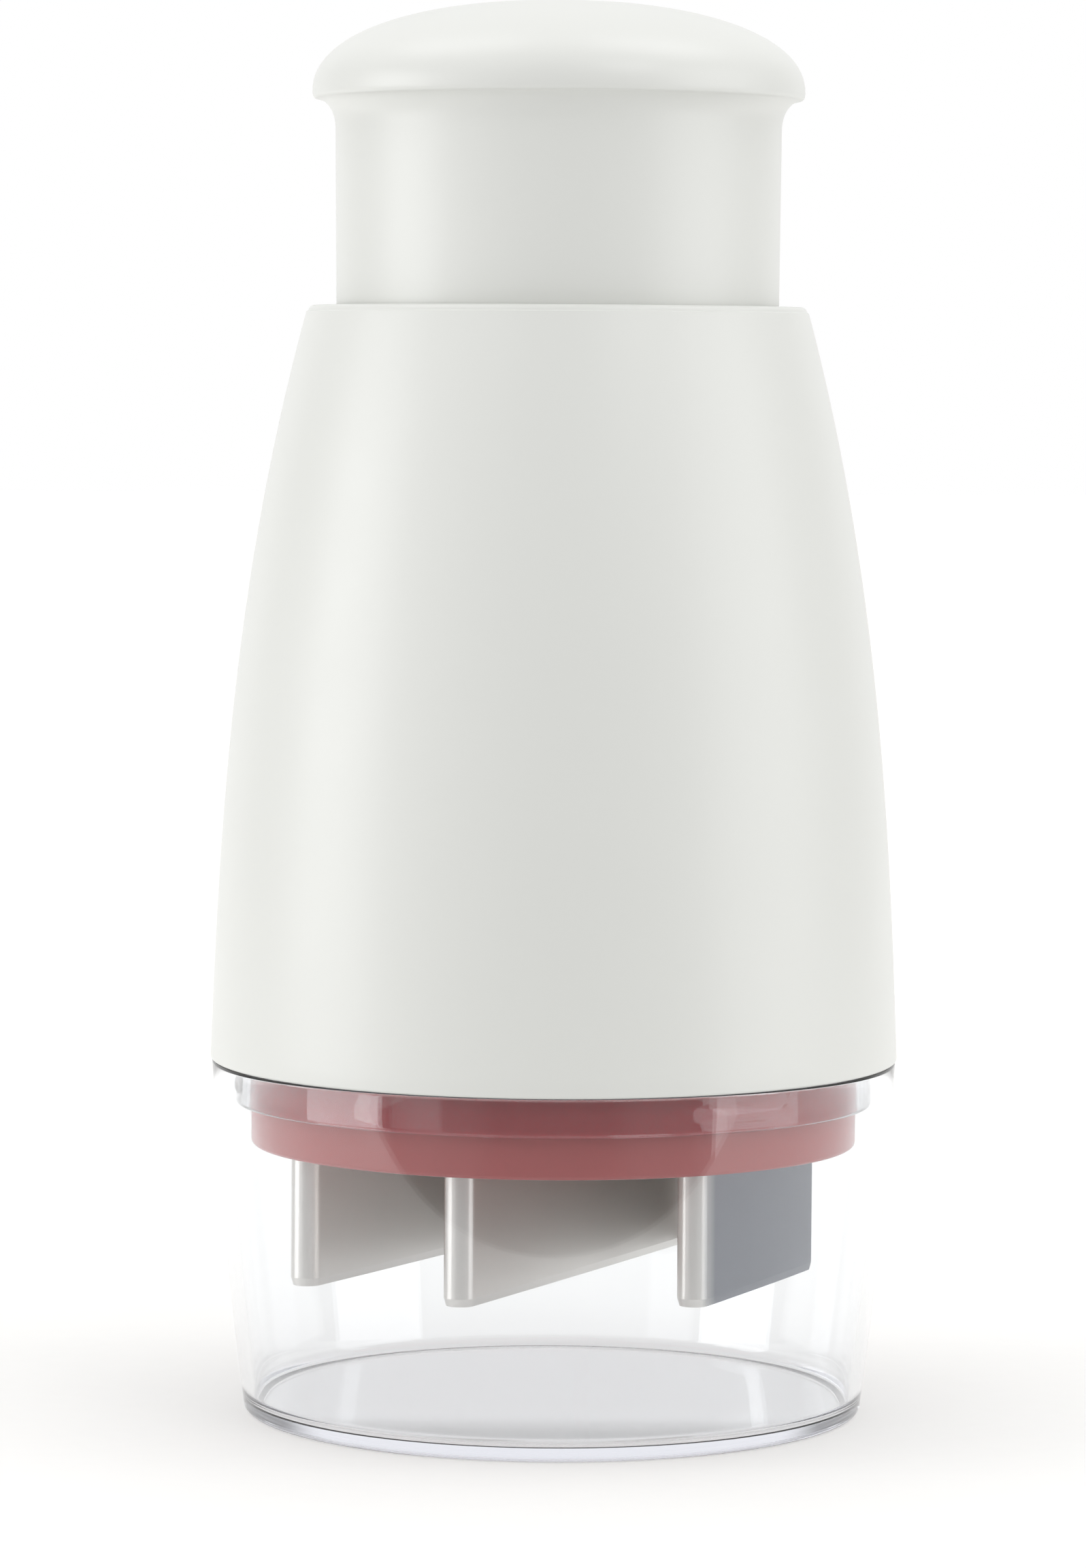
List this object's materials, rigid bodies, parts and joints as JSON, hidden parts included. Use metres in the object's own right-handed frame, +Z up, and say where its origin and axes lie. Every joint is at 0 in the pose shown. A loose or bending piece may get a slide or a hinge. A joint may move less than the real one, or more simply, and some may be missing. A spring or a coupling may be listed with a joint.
{
  "type": "hand-press food chopper",
  "caption": "Bell-shaped hand chopper: a sprung press knob drives a zigzag steel blade through a turning wiper disc into a clear cup.",
  "frame": {"origin": "on the surface the chopper stands on, under the middle of the cup", "axes": "+Z up along the common axis of cup, housing, knob and blade; -Y towards the pictured front; +X to its right"},
  "size_m": [0.1048, 0.1048, 0.2143],
  "materials": {
    "clear_plastic": "clear moulded styrene, polished",
    "white_plastic": "satin moulded ABS, warm white",
    "inner_plastic": "moulded acetal, plain",
    "red_plastic": "moulded polypropylene, soft gloss",
    "stainless_steel": "satin stainless",
    "spring_steel": "drawn stainless wire",
    "zinc_steel": "zinc plated",
    "insert_brass": "turned brass",
    "soft_rubber": "soft moulded rubber"
  },
  "bodies": {
    "cup": {"clear_cup": "clear_plastic"},
    "housing": {"housing_shell": "white_plastic", "clear_collar_ring": "clear_plastic", "bridge_plate": "inner_plastic", "bridge_screw_1": "zinc_steel", "bridge_screw_2": "zinc_steel", "bridge_screw_3": "zinc_steel", "upper_crown": "inner_plastic", "index_cage": "inner_plastic", "cage_screw_1": "zinc_steel", "cage_screw_2": "zinc_steel", "cage_screw_3": "zinc_steel", "lower_spring_washer": "zinc_steel", "return_spring": "spring_steel", "bumper_ring": "soft_rubber"},
    "plunger": {"press_knob": "white_plastic", "plunger_shaft": "stainless_steel", "knob_insert": "insert_brass", "shaft_lock_nut": "zinc_steel", "upper_spring_cup": "zinc_steel", "drive_washer": "stainless_steel", "end_washer": "stainless_steel", "end_screw": "stainless_steel"},
    "blade_rotor": {"ratchet_wheel": "inner_plastic", "rotor_hub": "inner_plastic", "blade_carrier": "red_plastic", "hub_screw_1": "zinc_steel", "hub_screw_2": "zinc_steel", "hub_screw_3": "zinc_steel", "hub_screw_4": "zinc_steel", "blade_strip": "stainless_steel"},
    "wiper": {"wiper_disc": "red_plastic"}
  },
  "joints": [
    {"name": "housing_lift", "type": "slide", "parent": "cup", "child": "housing", "axis": [0, 0, 1], "range_m": [0, 0.06]},
    {"name": "knob_press", "type": "slide", "parent": "housing", "child": "plunger", "axis": [0, 0, -1], "range_m": [0, 0.0183], "stiffness_N_per_m": 600, "springref_m": -0.03, "deforming": ["return_spring"]},
    {"name": "blade_index", "type": "hinge", "parent": "plunger", "child": "blade_rotor", "pos_m": [0, 0, 0.1], "axis": [0, 0, 1], "range_deg": [0, 15]},
    {"name": "wiper_turn", "type": "hinge", "parent": "housing", "child": "wiper", "pos_m": [0, 0, 0.0605], "axis": [0, 0, 1], "range_deg": [0, 15]}
  ],
  "couplings": [
    {"joint": "blade_index", "follows": "knob_press", "rad_per_m": 14.3},
    {"joint": "wiper_turn", "follows": "knob_press", "rad_per_m": 14.3}
  ]
}
